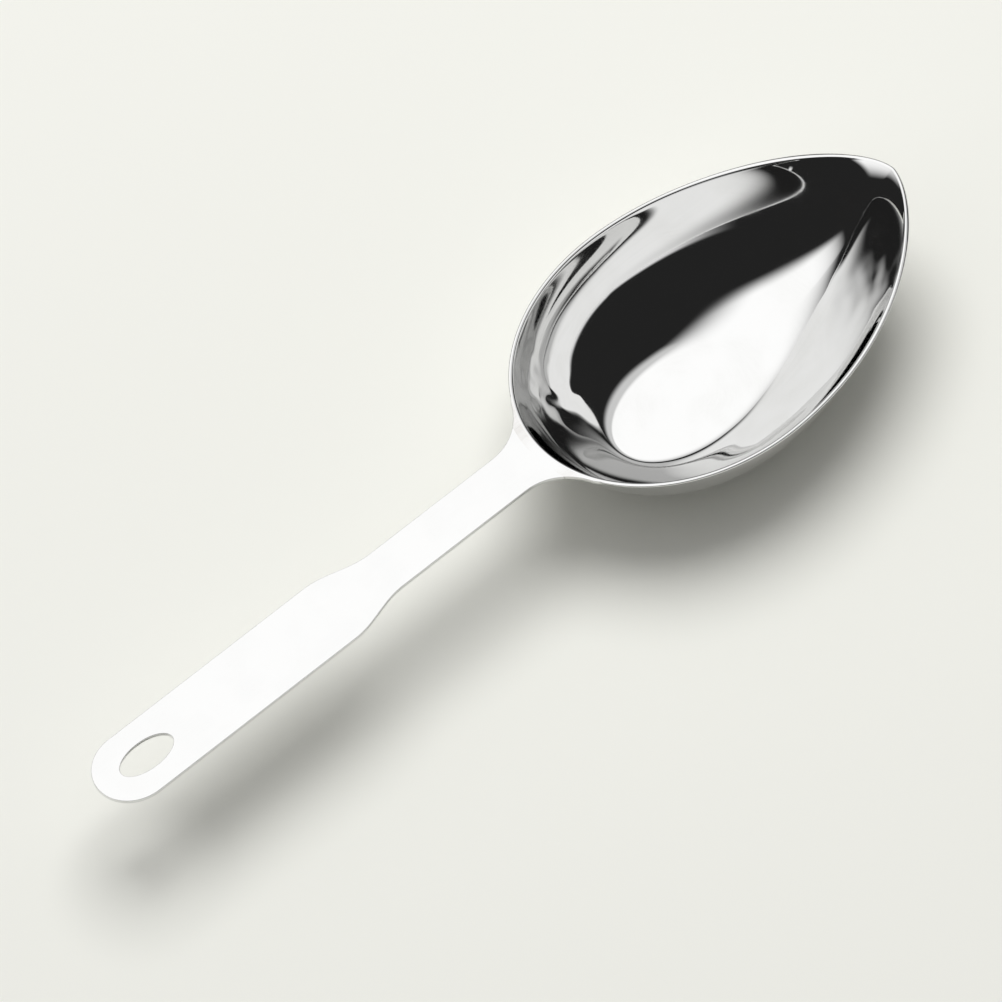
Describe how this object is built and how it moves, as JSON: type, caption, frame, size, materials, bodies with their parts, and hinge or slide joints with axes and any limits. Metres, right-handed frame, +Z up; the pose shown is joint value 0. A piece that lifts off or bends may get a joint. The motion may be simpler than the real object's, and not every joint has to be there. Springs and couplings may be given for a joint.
{
  "type": "sugar scoop",
  "caption": "Long-handled sugar scoop: pear-shaped polished stainless bowl with a flat base and pouring tip, and a flat strap handle with an oval hang hole.",
  "frame": {"origin": "the point of the flat underside that lies under the bowl's widest place, 2.3 mm in front of the flat's centre", "axes": "+X along the handle towards the pouring tip, +Z up out of the bowl, so +Y is to the left when looking along +X; the scoop is symmetric about y = 0"},
  "size_m": [0.2655, 0.076, 0.0356],
  "materials": {
    "bowl_steel": "mirror-polished stainless steel, deep drawn",
    "handle_steel": "mirror-polished stainless steel strip",
    "weld_steel": "weld bead, dressed flush and polished on top, left as a small crowned bead underneath"
  },
  "bodies": {
    "root": {"bowl": "bowl_steel", "handle": "handle_steel", "root_weld": "weld_steel"}
  },
  "joints": []
}
